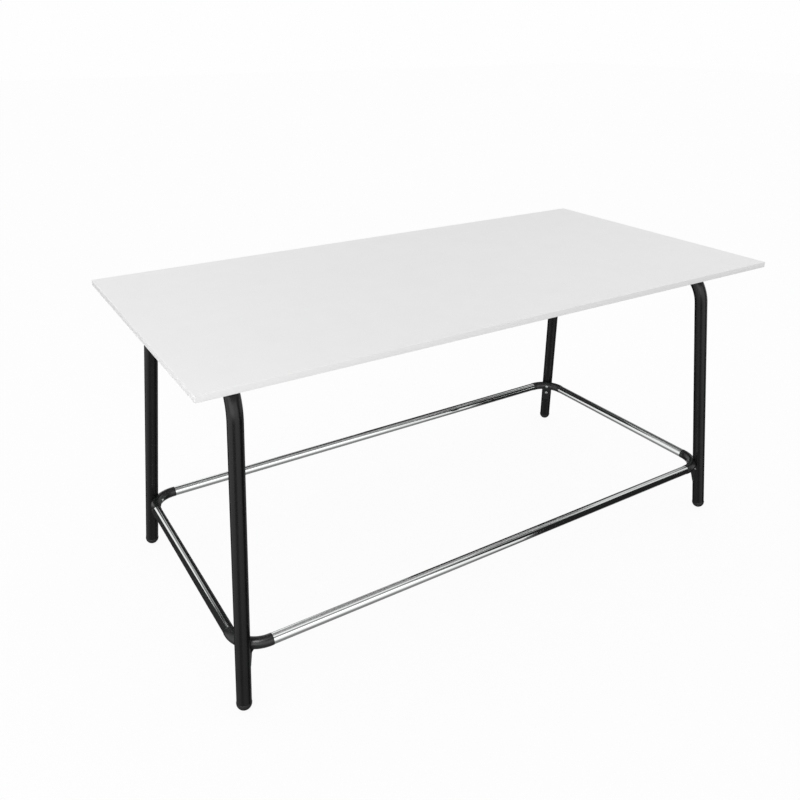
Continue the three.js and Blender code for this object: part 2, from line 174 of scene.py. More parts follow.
camera = bpy.data.objects.new("camera", bpy.data.cameras.new("camera"))
scene.collection.objects.link(camera)
scene.camera = camera
camera.location = view["place"]
camera.rotation_euler = (Matrix.Rotation(math.radians(-view["yawDegrees"]), 3, "Z")
                         @ Matrix.Rotation(math.radians(90 - view["downDegrees"]), 3, "X")
                         @ Matrix.Rotation(math.radians(view["rollDegrees"]), 3, "Z")).to_euler()
camera.data.sensor_width = view["sensorMm"]
camera.data.lens = view["sensorMm"] * view["focalPixels"] / view["imagePixels"]
middlePixel = (view["imagePixels"] - 1) / 2
camera.data.shift_x = (middlePixel - view["centrePixels"][0]) / view["imagePixels"]
camera.data.shift_y = (view["centrePixels"][1] - middlePixel) / view["imagePixels"]
camera.data.clip_end = view["farMetres"]
print("camera placed")


# materials

def linearColour(hexValue):
    channels = [int(hexValue[i:i + 2], 16) / 255 for i in (1, 3, 5)]
    return [c / 12.92 if c <= 0.04045 else ((c + 0.055) / 1.055) ** 2.4 for c in channels] + [1.0]


def addNode(tree, kind, inputs, **settings):      # one node with its settings, its values and its links
    node = tree.nodes.new(kind)
    for key, value in settings.items():
        setattr(node, key, value)
    for key, value in inputs.items():
        if isinstance(value, bpy.types.NodeSocket):
            tree.links.new(value, node.inputs[key])
        else:
            node.inputs[key].default_value = value
    return node


def emptyFinish(name):
    finish = bpy.data.materials.new(name)
    finish.use_nodes = True
    finish.node_tree.nodes.clear()
    return finish, finish.node_tree


def newFinish(name):      # with the place on the piece that its patterns read
    finish, tree = emptyFinish(name)
    return finish, tree, addNode(tree, "ShaderNodeTexCoord", {}).outputs["Object"]


def perMetre(sizeMm):      # noise scale for features of a given size
    return 1 / (sizeMm * mm)


noiseSpread = {"From Min": 0.3, "From Max": 0.7}      # noise hardly leaves this span

# High-pressure laminate pressed against a lightly textured plate: clean white with a satin sheen that a fine
# pebble breaks up, and a barely seen cloudiness of the paper under it. The pebble is 0.3 mm on a real board
# and is drawn at 1.6 mm so that it shows.
laminate = {"colour": "#ebebeb", "cloud": "#e7e7e7", "cloudMm": 90, "pebbleMm": 1.6, "pebbleDepthMm": 0.03,
            "roughness": (0.50, 0.60), "ior": 1.5, "backColour": "#d1d1d0", "backCloud": "#c9c9c8"}


def pressedLaminate(name, colour, cloud):
    finish, tree, place = newFinish(name)
    clouds = addNode(tree, "ShaderNodeTexNoise",
                     {"Vector": place, "Scale": perMetre(laminate["cloudMm"]), "Detail": 3, "Roughness": 0.6})
    tone = addNode(tree, "ShaderNodeMix",
                   {0: clouds.outputs["Fac"], 6: linearColour(colour), 7: linearColour(cloud)},
                   data_type="RGBA")
    pebble = addNode(tree, "ShaderNodeTexNoise",
                     {"Vector": place, "Scale": perMetre(laminate["pebbleMm"]), "Detail": 2,
                      "Roughness": 0.55})
    satin = addNode(tree, "ShaderNodeMapRange",
                    {**noiseSpread, "Value": pebble.outputs["Fac"],
                     "To Min": laminate["roughness"][0], "To Max": laminate["roughness"][1]})
    bump = addNode(tree, "ShaderNodeBump",
                   {"Height": pebble.outputs["Fac"], "Strength": 0.25,
                    "Distance": laminate["pebbleDepthMm"] * mm})
    shader = addNode(tree, "ShaderNodeBsdfPrincipled",
                     {"Base Color": tone.outputs[2], "Roughness": satin.outputs[0], "IOR": laminate["ior"],
                      "Normal": bump.outputs["Normal"]})
    addNode(tree, "ShaderNodeOutputMaterial", {"Surface": shader.outputs["BSDF"]})
    return finish


# Extruded ABS edge band: the same white, a touch glossier, with very fine lines along its length from the
# die. The lines are 0.2 mm apart on a real band and are drawn at 0.9 mm.
edging = {"colour": "#ebebeb", "streak": "#e6e6e6", "lineMm": 0.9, "lineLengthMm": 400, "lineDepthMm": 0.02,
          "roughness": (0.34, 0.44), "ior": 1.52}


def extrudedEdging():
    finish, tree, place = newFinish("white_abs_edging_extruded")
    along = perMetre(edging["lineLengthMm"])
    stretched = addNode(tree, "ShaderNodeMapping",
                        {"Vector": place, "Scale": (along, along, perMetre(edging["lineMm"]))})
    lines = addNode(tree, "ShaderNodeTexNoise", {"Vector": stretched.outputs[0], "Scale": 1, "Detail": 2})
    tone = addNode(tree, "ShaderNodeMix",
                   {0: lines.outputs["Fac"], 6: linearColour(edging["colour"]),
                    7: linearColour(edging["streak"])}, data_type="RGBA")
    gloss = addNode(tree, "ShaderNodeMapRange",
                    {**noiseSpread, "Value": lines.outputs["Fac"],
                     "To Min": edging["roughness"][0], "To Max": edging["roughness"][1]})
    bump = addNode(tree, "ShaderNodeBump",
                   {"Height": lines.outputs["Fac"], "Strength": 0.3, "Distance": edging["lineDepthMm"] * mm})
    shader = addNode(tree, "ShaderNodeBsdfPrincipled",
                     {"Base Color": tone.outputs[2], "Roughness": gloss.outputs[0], "IOR": edging["ior"],
                      "Normal": bump.outputs["Normal"]})
    addNode(tree, "ShaderNodeOutputMaterial", {"Surface": shader.outputs["BSDF"]})
    return finish


# Chipboard: pressed wood chips, straw to brown, matt. It lies under the laminates and edge bands.
chipboard = {"pale": "#c9a877", "dark": "#8d6a42", "chipMm": 5, "chipDepthMm": 0.2, "roughness": 0.85}


def pressedChipboard():
    finish, tree, place = newFinish("chipboard_pressed")
    chips = addNode(tree, "ShaderNodeTexVoronoi", {"Vector": place, "Scale": perMetre(chipboard["chipMm"])})
    shade = addNode(tree, "ShaderNodeSeparateColor", {"Color": chips.outputs["Color"]})
    tone = addNode(tree, "ShaderNodeMix",
                   {0: shade.outputs[0], 6: linearColour(chipboard["pale"]),
                    7: linearColour(chipboard["dark"])}, data_type="RGBA")
    bump = addNode(tree, "ShaderNodeBump",
                   {"Height": chips.outputs["Distance"], "Strength": 0.4,
                    "Distance": chipboard["chipDepthMm"] * mm})
    shader = addNode(tree, "ShaderNodeBsdfPrincipled",
                     {"Base Color": tone.outputs[2], "Roughness": chipboard["roughness"],
                      "Normal": bump.outputs["Normal"]})
    addNode(tree, "ShaderNodeOutputMaterial", {"Surface": shader.outputs["BSDF"]})
    return finish


# Black polyester powder coat baked on steel tube: satin black with a soft orange peel that spreads the
# highlights into broad stripes along the tube.
powderCoat = {"colour": "#0a0a0c", "thin": "#0f0f10", "peelMm": 2.6, "peelDepthMm": 0.05, "driftMm": 70,
              "roughness": (0.24, 0.32), "ior": 1.45}


def bakedPowderCoat():
    finish, tree, place = newFinish("black_powder_coat_baked")
    drift = addNode(tree, "ShaderNodeTexNoise",
                    {"Vector": place, "Scale": perMetre(powderCoat["driftMm"]), "Detail": 4,
                     "Roughness": 0.6})
    tone = addNode(tree, "ShaderNodeMix",
                   {0: drift.outputs["Fac"], 6: linearColour(powderCoat["colour"]),
                    7: linearColour(powderCoat["thin"])}, data_type="RGBA")
    satin = addNode(tree, "ShaderNodeMapRange",
                    {**noiseSpread, "Value": drift.outputs["Fac"],
                     "To Min": powderCoat["roughness"][0], "To Max": powderCoat["roughness"][1]})
    peel = addNode(tree, "ShaderNodeTexNoise",
                   {"Vector": place, "Scale": perMetre(powderCoat["peelMm"]), "Detail": 1, "Roughness": 0.4})
    bump = addNode(tree, "ShaderNodeBump",
                   {"Height": peel.outputs["Fac"], "Strength": 0.35,
                    "Distance": powderCoat["peelDepthMm"] * mm})
    shader = addNode(tree, "ShaderNodeBsdfPrincipled",
                     {"Base Color": tone.outputs[2], "Roughness": satin.outputs[0], "IOR": powderCoat["ior"],
                      "Normal": bump.outputs["Normal"]})
    addNode(tree, "ShaderNodeOutputMaterial", {"Surface": shader.outputs["BSDF"]})
    return finish


# Glass-filled nylon moulded in a spark-eroded tool: near black, with a fine even grain that takes the edge
# off its highlights. The grain is 0.15 mm in the tool and is drawn at 0.7 mm.
nylon = {"colour": "#151617", "flow": "#1c1d1e", "grainMm": 0.7, "grainDepthMm": 0.02, "flowMm": 22,
         "roughness": (0.26, 0.34), "ior": 1.53}

# Polyethylene moulded in a blasted tool: a waxy, matt black that shows hardly any highlight. The grain is
# 0.2 mm in the tool and is drawn at 0.9 mm.
polyethylene = {"colour": "#131313", "flow": "#1a1a1a", "grainMm": 0.9, "grainDepthMm": 0.04, "flowMm": 12,
                "roughness": (0.58, 0.70), "ior": 1.51}


def mouldedPlastic(name, plastic):
    finish, tree, place = newFinish(name)
    flow = addNode(tree, "ShaderNodeTexNoise",
                   {"Vector": place, "Scale": perMetre(plastic["flowMm"]), "Detail": 3, "Distortion": 0.6})
    tone = addNode(tree, "ShaderNodeMix",
                   {0: flow.outputs["Fac"], 6: linearColour(plastic["colour"]),
                    7: linearColour(plastic["flow"])}, data_type="RGBA")
    grain = addNode(tree, "ShaderNodeTexNoise",
                    {"Vector": place, "Scale": perMetre(plastic["grainMm"]), "Detail": 2})
    gloss = addNode(tree, "ShaderNodeMapRange",
                    {**noiseSpread, "Value": grain.outputs["Fac"],
                     "To Min": plastic["roughness"][0], "To Max": plastic["roughness"][1]})
    bump = addNode(tree, "ShaderNodeBump",
                   {"Height": grain.outputs["Fac"], "Strength": 0.3,
                    "Distance": plastic["grainDepthMm"] * mm})
    shader = addNode(tree, "ShaderNodeBsdfPrincipled",
                     {"Base Color": tone.outputs[2], "Roughness": gloss.outputs[0], "IOR": plastic["ior"],
                      "Normal": bump.outputs["Normal"]})
    addNode(tree, "ShaderNodeOutputMaterial", {"Surface": shader.outputs["BSDF"]})
    return finish


# Bright chrome plate on drawn steel tube: a mirror with a cool tint, slightly softened in streaks along the
# tube where it was polished before plating. The streaks are far finer on a real tube and are drawn at 1.5 mm.
chrome = {"colour": "#f3f4f4", "streak": "#e8eaeb", "streakMm": 1.5, "streakLengthMm": 260,
          "roughness": (0.03, 0.07)}


def platedChrome(name, runs):      # runs is the axis, 0 or 1, that the tube lies along
    finish, tree, place = newFinish(name)
    scale = [perMetre(chrome["streakMm"])] * 3
    scale[runs] = perMetre(chrome["streakLengthMm"])
    stretched = addNode(tree, "ShaderNodeMapping", {"Vector": place, "Scale": scale})
    streaks = addNode(tree, "ShaderNodeTexNoise", {"Vector": stretched.outputs[0], "Scale": 1, "Detail": 3})
    tone = addNode(tree, "ShaderNodeMix",
                   {0: streaks.outputs["Fac"], 6: linearColour(chrome["colour"]),
                    7: linearColour(chrome["streak"])}, data_type="RGBA")
    polish = addNode(tree, "ShaderNodeMapRange",
                     {**noiseSpread, "Value": streaks.outputs["Fac"],
                      "To Min": chrome["roughness"][0], "To Max": chrome["roughness"][1]})
    shader = addNode(tree, "ShaderNodeBsdfPrincipled",
                     {"Base Color": tone.outputs[2], "Metallic": 1.0, "Roughness": polish.outputs[0]})
    addNode(tree, "ShaderNodeOutputMaterial", {"Surface": shader.outputs["BSDF"]})
    return finish


# Zinc-plated steel, clear passivated: a pale blue-grey metal, softer than chrome, with a slightly mottled
# tint.
zinc = {"colour": "#d3d7da", "tint": "#c9cbc6", "mottleMm": 3, "roughness": (0.36, 0.48)}


def platedZinc():
    finish, tree, place = newFinish("zinc_plated_steel_passivated")
    mottle = addNode(tree, "ShaderNodeTexNoise",
                     {"Vector": place, "Scale": perMetre(zinc["mottleMm"]), "Detail": 4, "Roughness": 0.65})
    tone = addNode(tree, "ShaderNodeMix",
                   {0: mottle.outputs["Fac"], 6: linearColour(zinc["colour"]),
                    7: linearColour(zinc["tint"])}, data_type="RGBA")
    polish = addNode(tree, "ShaderNodeMapRange",
                     {**noiseSpread, "Value": mottle.outputs["Fac"],
                      "To Min": zinc["roughness"][0], "To Max": zinc["roughness"][1]})
    shader = addNode(tree, "ShaderNodeBsdfPrincipled",
                     {"Base Color": tone.outputs[2], "Metallic": 1.0, "Roughness": polish.outputs[0]})
    addNode(tree, "ShaderNodeOutputMaterial", {"Surface": shader.outputs["BSDF"]})
    return finish


whiteLaminate = pressedLaminate("white_laminate_pressed", laminate["colour"], laminate["cloud"])
backingLaminate = pressedLaminate("backing_laminate_pressed", laminate["backColour"], laminate["backCloud"])
whiteEdging = extrudedEdging()
woodCore = pressedChipboard()
blackCoat = bakedPowderCoat()
blackNylon = mouldedPlastic("black_nylon_moulded", nylon)
blackPolyethylene = mouldedPlastic("black_polyethylene_moulded", polyethylene)
chromeAlongX = platedChrome("chrome_plate_long_rails", 0)
chromeAlongY = platedChrome("chrome_plate_short_rails", 1)
zincPlate = platedZinc()
print("materials made")


# table top: the laminates and the core keep their CAD shape, the edge bands get a rounder arris

edgeBand = {"arrisMm": 1.2, "arrisSteps": 5, "smoothDegrees": 40}

for node, finish in (("top_laminate", whiteLaminate), ("top_backing_laminate", backingLaminate),
                     ("top_core_board", woodCore)):
    frame["nodes"][node].data.materials.clear()
    frame["nodes"][node].data.materials.append(finish)


def makeEdgeBand(side):
    node = "edge_band_" + side
    low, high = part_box(node)
    across = 1 if side in ("front", "back") else 0
    outer = low[across] if side in ("front", "left") else high[across]
    clearSelection()
    bpy.ops.mesh.primitive_cube_add(size=1, location=(low + high) / 2, scale=high - low)
    band = startShape()

    def onOuterFace(edge):
        return all(abs(vert.co[across] - outer) < onFace for vert in edge.verts)

    if across == 1:      # the long bands cover the ends of the short ones, so their own ends are rounded too
        pick("EDGE", lambda edge: onOuterFace(edge) or abs(edgeRun(edge).y) > mostly)
    else:
        pick("EDGE", lambda edge: onOuterFace(edge) and abs(edgeRun(edge).y) > mostly)
    bpy.ops.mesh.bevel(offset=edgeBand["arrisMm"] * mm, segments=edgeBand["arrisSteps"], affect="EDGES")
    closeUp()
    finishPiece(band, "edgeBand" + side.capitalize(), node, whiteEdging,
                edgeBand["smoothDegrees"])


for side in ("front", "back", "left", "right"):
    makeEdgeBand(side)
print("table top dressed")


# leg frames: one round tube bent twice, an upside-down U that leans in

legTube = {"diameterMm": 45, "wallMm": 2, "bendRadiusMm": 135, "splayDegrees": 5.75, "seatGapMm": 0.3,
           "sides": 64, "bendSteps": 28}
footPlug = {"rimDiameterMm": 46.8, "flatDiameterMm": 14, "collarMm": 3, "stubDiameterMm": 38.9,
            "stubLengthMm": 26, "stubWallMm": 3, "barbs": 2, "barbMm": 0.6, "sides": 64, "rings": 48}

tubeRadius = legTube["diameterMm"] / 2 * mm
seatGap = legTube["seatGapMm"] * mm
lean = math.radians(legTube["splayDegrees"])
splaySlope = math.tan(lean)
domeRadius = footPlug["rimDiameterMm"] / 2 * mm
domeHeight = math.sqrt(domeRadius ** 2 - (footPlug["flatDiameterMm"] / 2 * mm) ** 2)

# the leg's axis meets the floor a little outside the flat of its foot
footPlace = next(Vector(m["pos_m"]) for m in frame["record"]["mounts"] if m["name"] == "foot_back_right")
legFloor = footPlace + Vector((splaySlope, splaySlope, 0)) * domeHeight
cornerLean = math.atan(splaySlope * math.sqrt(2))
corners = {"front_left": (-1, -1), "front_right": (1, -1), "back_left": (-1, 1), "back_right": (1, 1)}


def atCorner(name):      # from a corner's own frame, +X to the middle of the table, to the table's frame
    sideX, sideY = corners[name]
    stand = Matrix.Translation((sideX * legFloor.x, sideY * legFloor.y, 0))
    return stand @ Matrix.Rotation(math.atan2(-sideY, -sideX), 4, "Z")


def onLeg(height):      # in a corner's frame, from upright at the origin to leaning with the leg at a height
    return (Matrix.Translation((splaySlope * math.sqrt(2) * height, 0, height))
            @ Matrix.Rotation(cornerLean, 4, "Y"))


def makeLegFrame():      # modelled upright in the plane x = 0
    splay = math.atan(splaySlope * math.cos(lean))
    bendRadius = legTube["bendRadiusMm"] * mm
    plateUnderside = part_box("mounting_plate_left_front")[0].z
    crossbar = (plateUnderside - seatGap - tubeRadius) / math.cos(lean)
    bendHeight = crossbar - bendRadius
    bendY = legFloor.y - math.tan(splay) * bendHeight - bendRadius / math.cos(splay)
    footHeight = domeHeight / math.cos(lean)
    tubeEnd = footPlug["collarMm"] * mm + seatGap
    up = Vector((0, math.sin(splay), math.cos(splay)))      # the front leg, from its foot
    start = Vector((0, -(legFloor.y - math.tan(splay) * footHeight), footHeight)) + up * tubeEnd
    bendStart = Vector((0, -bendY - bendRadius * math.cos(splay), bendHeight + bendRadius * math.sin(splay)))
    turn = math.pi / 2 - splay
    clearSelection()
    bpy.ops.mesh.primitive_circle_add(vertices=legTube["sides"], radius=tubeRadius, location=start,
                                      rotation=(-splay, 0, 0))
    tube = startShape()
    pullOut(bendStart - start)
    bpy.ops.mesh.spin(steps=legTube["bendSteps"], angle=turn, center=(0, -bendY, bendHeight), axis=(1, 0, 0))
    pullOut((0, 2 * bendY, 0))
    bpy.ops.mesh.spin(steps=legTube["bendSteps"], angle=turn, center=(0, bendY, bendHeight), axis=(1, 0, 0))
    pullOut((0, (bendStart - start).y, -(bendStart - start).z))
    closeUp()
    useModifier(tube, "SOLIDIFY", thickness=legTube["wallMm"] * mm, offset=-1)
    return tube


legFrame = makeLegFrame()
for side, sign in (("left", -1), ("right", 1)):
    stand = Matrix.Translation((sign * legFloor.x, 0, 0)) @ Matrix.Rotation(-sign * lean, 4, "Y")
    finishPiece(copyTo(legFrame, stand), side + "LegFrame", side + "_leg_frame",
                blackCoat)
bpy.data.objects.remove(legFrame, do_unlink=True)
print("leg frames bent")


# foot plugs: a moulded dome with a short collar under the tube's end, and a hollow barbed stub inside it

def makeFootPlug():
    clearSelection()
    bpy.ops.mesh.primitive_uv_sphere_add(segments=footPlug["sides"], ring_count=footPlug["rings"],
                                         radius=domeRadius)
    plug = startShape()
    bpy.ops.mesh.bisect(plane_co=(0, 0, 0), plane_no=(0, 0, 1), clear_outer=True, threshold=touching)
    collar = footPlug["collarMm"] * mm
    rim = domeRadius - tubeRadius
    stub = footPlug["stubDiameterMm"] / 2 * mm
    stubLength = footPlug["stubLengthMm"] * mm
    inside = stub - footPlug["stubWallMm"] * mm
    barb = stub + footPlug["barbMm"] * mm
    halfPitch = stubLength / (footPlug["barbs"] + 1) / 2
    steps = [(collar - rim, domeRadius), (rim, tubeRadius), (0, stub), (halfPitch, stub)]
    steps += [(halfPitch, stub), (0, barb), (halfPitch, stub)] * footPlug["barbs"]
    steps += [(halfPitch, stub), (0, inside), (-stubLength, inside)]
    pick("EDGE", lambda edge: edge.is_boundary)
    height, radius = 0, domeRadius
    for rise, wanted in steps:
        height += rise
        pullOut((0, 0, rise))
        bpy.ops.transform.resize(value=(wanted / radius, wanted / radius, 1), center_override=(0, 0, height))
        radius = wanted
    bpy.ops.mesh.edge_face_add()
    closeUp()
    placeBy(plug, onLeg(domeHeight))
    startEditing()      # the dome is cut flat where it meets the floor
    bpy.ops.mesh.bisect(plane_co=(0, 0, 0), plane_no=(0, 0, -1), clear_outer=True, use_fill=True,
                        threshold=touching)
    closeUp()
    return plug


plug = makeFootPlug()
for name in corners:
    finishPiece(copyTo(plug, atCorner(name)), name.replace("_", "-") + "-footPlug", name + "_foot",
                blackPolyethylene)
bpy.data.objects.remove(plug, do_unlink=True)
print("foot plugs moulded")


# foot rails: drawn tube cut square

railTube = {"wallMm": 1.5, "sides": 96}


def makeRail(node, along, finish):
    low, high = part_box(node)
    start = (low + high) / 2
    start[along] = low[along]
    turned = (0, math.pi / 2, 0) if along == 0 else (-math.pi / 2, 0, 0)
    run = Vector((0, 0, 0))
    run[along] = high[along] - low[along]
    clearSelection()
    bpy.ops.mesh.primitive_circle_add(vertices=railTube["sides"], radius=(high.z - low.z) / 2, location=start,
                                      rotation=turned)
    rail = startShape()
    pullOut(run)
    closeUp()
    useModifier(rail, "SOLIDIFY", thickness=railTube["wallMm"] * mm, offset=-1)
    finishPiece(rail, node.split("_")[0] + "FootRail", node, finish)


for node, along, finish in (("front_foot_rail", 0, chromeAlongX), ("back_foot_rail", 0, chromeAlongX),
                            ("left_foot_rail", 1, chromeAlongY), ("right_foot_rail", 1, chromeAlongY)):
    makeRail(node, along, finish)
print("foot rails drawn")


# corner connectors: a moulded elbow with spigots for the rails, a saddle on the leg, and a lug down the leg's
# inner side

connector = {"sleeveDiameterMm": 36, "bendRadiusMm": 90, "collarMm": 6, "rimMm": 0.8, "rimRoundMm": 0.72,
             "spigotDiameterMm": 30.1, "spigotLengthMm": 38, "spigotChamferMm": 3, "lugDropMm": 80,
             "lugRootWidthMm": 36, "lugTipWidthMm": 30, "lugRootThicknessMm": 13, "lugTipThicknessMm": 1.5,
             "lugRoundingMm": 6, "lugTipRadiusMm": 11, "filletMm": 12, "filletSweepDegrees": 55,
             "screwSpacingMm": 44, "holeClearanceMm": 0.4, "sliverMm": 0.06, "sides": 64, "bendSteps": 32,
             "rimSteps": 3, "lugSteps": 8, "saddleSides": 96, "recessSides": 48}
connectorScrew = {"diameterMm": 6, "headDiameterMm": 13, "headHeightMm": 4, "headProudMm": 1.5, "gripMm": 6}

frontLow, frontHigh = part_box("front_foot_rail")
leftLow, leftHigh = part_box("left_foot_rail")
railHeight = (frontLow.z + frontHigh.z) / 2
railX = -(leftLow.x + leftHigh.x) / 2
railOffset = railX - (legFloor.x - splaySlope * railHeight)
sleeveRadius = connector["sleeveDiameterMm"] / 2 * mm
elbowRadius = connector["bendRadiusMm"] * mm

# the elbow seen square to the leg: how far out from the leg's axis, and how far up along it
elbowSetback = (math.sqrt(2) - 1) * elbowRadius - math.sqrt(2) * railOffset
elbowOut = elbowSetback * math.cos(cornerLean)
elbowRise = elbowSetback * math.sin(cornerLean)
rootFace = tubeRadius + connector["lugRootThicknessMm"] * mm
lugDrop = connector["lugDropMm"] * mm
lugSlope = (connector["lugRootThicknessMm"] - connector["lugTipThicknessMm"]) / connector["lugDropMm"]
tipRadius = connector["lugTipRadiusMm"] * mm
fillet = connector["filletMm"] * mm
filletSweep = math.radians(connector["filletSweepDegrees"])
filletBelow = math.sqrt((sleeveRadius + fillet) ** 2
                        - (rootFace - lugSlope * sleeveRadius + fillet - elbowOut) ** 2)
faceFilletBottom = filletBelow - elbowRise
faceFilletTop = filletBelow * sleeveRadius / (sleeveRadius + fillet) - elbowRise
sideFilletBottom = sleeveRadius - elbowRise + fillet
sideFilletTop = sideFilletBottom - fillet * math.sin(filletSweep)

# the upper screw comes out at half the height of the elbow's inner face, the lower one through the lug
upperRise = (elbowSetback + sleeveRadius) * math.sin(cornerLean)
lowerDrop = connector["screwSpacingMm"] * mm - upperRise
headSink = (connectorScrew["headHeightMm"] - connectorScrew["headProudMm"]) * mm
upperSeat = elbowOut + math.sqrt(sleeveRadius ** 2 - (upperRise - elbowRise) ** 2) - headSink
lowerSeat = rootFace - lugSlope * lowerDrop - headSink
screwPlaces = {"upper": (upperSeat, -upperRise), "lower": (lowerSeat, lowerDrop)}


def makeElbow():
    collar = connector["collarMm"] * mm
    legX = splaySlope * math.sqrt(2) * railHeight
    centre = Vector((legX + math.sqrt(2) * (elbowRadius - railOffset), 0, railHeight))
    half = math.sqrt(0.5)
    firstRun = Vector((-half, half, 0))
    lastRun = Vector((half, half, 0))
    first = centre + elbowRadius * Vector((-half, -half, 0)) - firstRun * collar
    last = centre + elbowRadius * Vector((-half, half, 0)) + lastRun * collar
    clearSelection()
    bpy.ops.mesh.primitive_circle_add(vertices=connector["sides"], radius=sleeveRadius, location=first,
                                      rotation=(math.pi / 2, 0, math.pi / 4))
    elbow = startShape()
    pullOut(firstRun * collar)
    bpy.ops.mesh.spin(steps=connector["bendSteps"], angle=math.pi / 2, center=centre, axis=(0, 0, 1))
    pullOut(lastRun * collar)
    for end in (first, last):      # the open ends are closed
        pick("EDGE", lambda edge: (edge.is_boundary
                                   and (edge.verts[0].co - end).length < sleeveRadius + nearby))
        bpy.ops.mesh.edge_face_add()
    joinSeams()
    rim = connector["rimMm"] * mm
    spigotRadius = connector["spigotDiameterMm"] / 2 * mm
    chamfer = connector["spigotChamferMm"] * mm
    straight = connector["spigotLengthMm"] * mm - chamfer
    shrink = (spigotRadius - chamfer / 2) / spigotRadius
    for end, run in ((first, -firstRun), (last, lastRun)):
        pick("FACE", lambda face: (face.calc_center_median() - end).length < nearby)
        bpy.ops.mesh.inset(thickness=rim, depth=0)
        bpy.ops.mesh.inset(thickness=sleeveRadius - spigotRadius - rim, depth=0)
        pullOut(run * straight)
        pullOut(run * chamfer)
        bpy.ops.transform.resize(value=(shrink, shrink, shrink),
                                 center_override=end + run * (straight + chamfer))
        pick("EDGE", lambda edge: all(abs((vert.co - end).dot(run)) < onFace
                                      and (vert.co - end).length > sleeveRadius - onFace
                                      for vert in edge.verts))
        bpy.ops.mesh.bevel(offset=connector["rimRoundMm"] * mm, segments=connector["rimSteps"],
                           affect="EDGES")
    closeUp()
    return elbow


def flare(rise):      # how far the fillet stands out at a rise above its lower end
    return fillet - math.sqrt(fillet ** 2 - max(0, rise) ** 2)


def lugFace(drop):      # from the leg's axis to the face of the lug
    low = max(drop, faceFilletTop)
    return rootFace - lugSlope * low + flare(faceFilletBottom - low)


def lugHalfWidth(drop):      # narrows to the tip, ends in two round corners and spreads into the elbow
    narrowing = (connector["lugTipWidthMm"] - connector["lugRootWidthMm"]) * drop / lugDrop
    width = connector["lugRootWidthMm"] + narrowing
    past = max(0, drop - lugDrop + tipRadius)
    tipInset = tipRadius - math.sqrt(max(0, tipRadius ** 2 - past ** 2))
    spread = flare(sideFilletBottom - drop) if drop >= sideFilletTop - touching else 0
    return width / 2 * mm - tipInset + spread


def makeLug():      # pulled down from the elbow's height in steps, each as thick and wide as the lug is there
    back = tubeRadius / 2
    half = connector["lugRootWidthMm"] / 2 * mm
    steps = connector["lugSteps"]
    drops = {0, faceFilletTop, lugDrop}
    drops |= {lugDrop - tipRadius * (1 - math.cos(math.pi / 2 * i / steps)) for i in range(1, steps + 1)}
    drops |= {sideFilletBottom - fillet * math.sin(filletSweep * i / steps) for i in range(steps + 1)}
    drops = sorted(drops)
    clearSelection()
    bpy.ops.mesh.primitive_plane_add(size=1, location=((back + rootFace) / 2, 0, 0))
    bpy.context.object.scale = (rootFace - back, 2 * half, 1)
    lug = startShape()
    pick("VERT", lambda vert: vert.co.x > rootFace - nearby)
    bpy.ops.mesh.bevel(offset=connector["lugRoundingMm"] * mm, segments=steps, affect="VERTICES")
    pick("FACE", lambda face: True)
    reach, width = rootFace, half
    for above, drop in zip([0] + drops, drops):
        if drop > 0:
            pullOut((0, 0, above - drop))
        scale = ((lugFace(drop) - back) / (reach - back), lugHalfWidth(drop) / width, 1)
        bpy.ops.transform.resize(value=scale, center_override=(back, 0, -drop))
        reach, width = lugFace(drop), lugHalfWidth(drop)
    closeUp()
    placeBy(lug, onLeg(railHeight))
    return lug


def makeConnector():
    body = makeElbow()
    joinOrCut(body, makeLug(), "UNION")
    legAxis = onLeg(railHeight)
    saddle = drillRod(tubeRadius + seatGap, legAxis @ Vector((0, 0, -2 * lugDrop)),
                      legAxis @ Vector((0, 0, 2 * lugDrop)), connector["saddleSides"])
    joinOrCut(body, saddle, "DIFFERENCE")
    clearance = connector["holeClearanceMm"] * mm
    for seat, drop in screwPlaces.values():
        outside = legAxis @ Vector((seat + elbowRadius, 0, -drop))
        hole = drillRod(connectorScrew["diameterMm"] / 2 * mm + clearance,
                        legAxis @ Vector((tubeRadius / 2, 0, -drop)), outside)
        joinOrCut(body, hole, "DIFFERENCE")
        recess = drillRod(connectorScrew["headDiameterMm"] / 2 * mm + clearance,
                          legAxis @ Vector((seat - seatGap, 0, -drop)), outside, connector["recessSides"])
        joinOrCut(body, recess, "DIFFERENCE")
    workOn(body)
    startEditing()      # the cuts leave slivers, which are merged away
    bpy.ops.mesh.remove_doubles(threshold=connector["sliverMm"] * mm)
    bpy.ops.mesh.dissolve_degenerate(threshold=connector["sliverMm"] / 3 * mm)
    bpy.ops.object.mode_set(mode="OBJECT")
    useModifier(body, "TRIANGULATE", min_vertices=5)      # splits many-cornered faces alike on every copy
    return body


cornerConnector = makeConnector()
for name in corners:
    finishPiece(copyTo(cornerConnector, atCorner(name)), name.replace("_", "-") + "-connector",
                name + "_connector", blackNylon)
bpy.data.objects.remove(cornerConnector, do_unlink=True)
print("corner connectors moulded")


# pan-head screws with a cross recess, head down, modelled once of each length

topScrew = {"diameterMm": 5, "lengthMm": 16, "headDiameterMm": 11, "headHeightMm": 3}

# the pan's section goes down in shares of the head's height, each with its share of the radius, and the slots
# of the cross are shares of the head too
panHead = {"sides": 40, "section": ((0.35, 1.0), (0.3, 0.95), (0.18, 0.82), (0.12, 0.62), (0.05, 0.3)),
           "slotLength": 0.46, "slotWidth": 0.1, "slotFrom": 1.2, "slotTo": 0.3, "slotTaper": 0.5,
           "pointTaper": 0.35}


